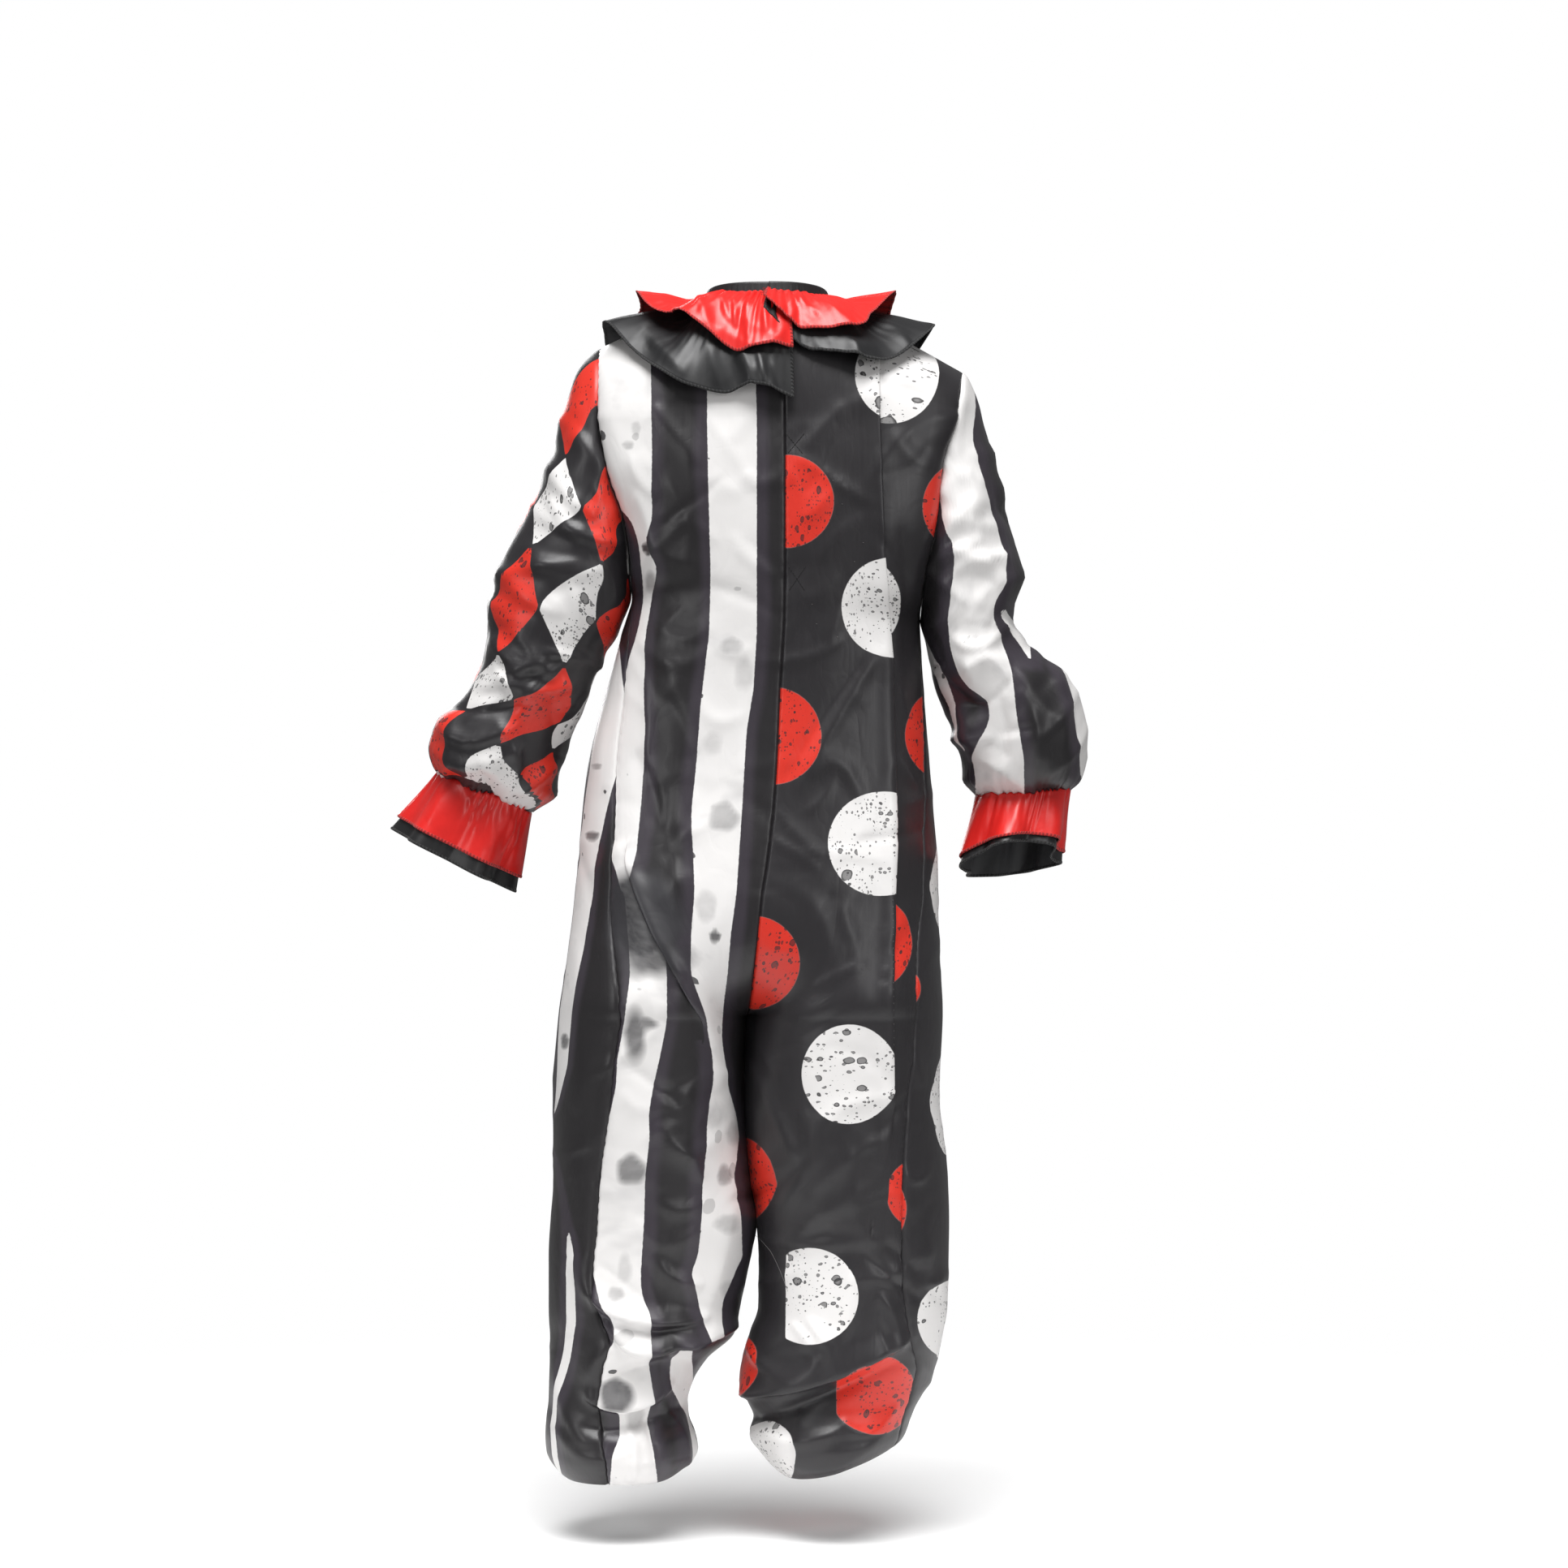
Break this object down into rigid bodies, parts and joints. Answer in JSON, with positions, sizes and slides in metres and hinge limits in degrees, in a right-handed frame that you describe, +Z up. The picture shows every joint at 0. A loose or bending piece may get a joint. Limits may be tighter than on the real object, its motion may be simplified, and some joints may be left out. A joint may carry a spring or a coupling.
{
  "type": "clown costume jumpsuit",
  "caption": "Child's hollow clown jumpsuit in its worn form, with stripes, dots and diamonds, a two-tier neck ruffle and two-tier wrist ruffles.",
  "frame": {"origin": "middle of the neck opening, where the wearer's shoulders carry the suit", "axes": "+Z up, the back faces +Y, the front faces -Y, the wearer's left is +X"},
  "size_m": [0.6221, 0.2186, 1.0612],
  "materials": {
    "stripe_satin": "satin",
    "dot_satin": "satin",
    "diamond_satin": "satin",
    "red_satin": "satin",
    "black_satin": "satin"
  },
  "bodies": {
    "root": {"back_left": "stripe_satin", "front_left": "stripe_satin", "sleeve_right": "stripe_satin", "back_right": "dot_satin", "front_right": "dot_satin", "sleeve_left": "diamond_satin", "cuff_red_left": "red_satin", "cuff_red_right": "red_satin", "collar_red": "red_satin", "cuff_black_left": "black_satin", "cuff_black_right": "black_satin", "collar_black": "black_satin", "neck_band": "black_satin"}
  },
  "joints": []
}
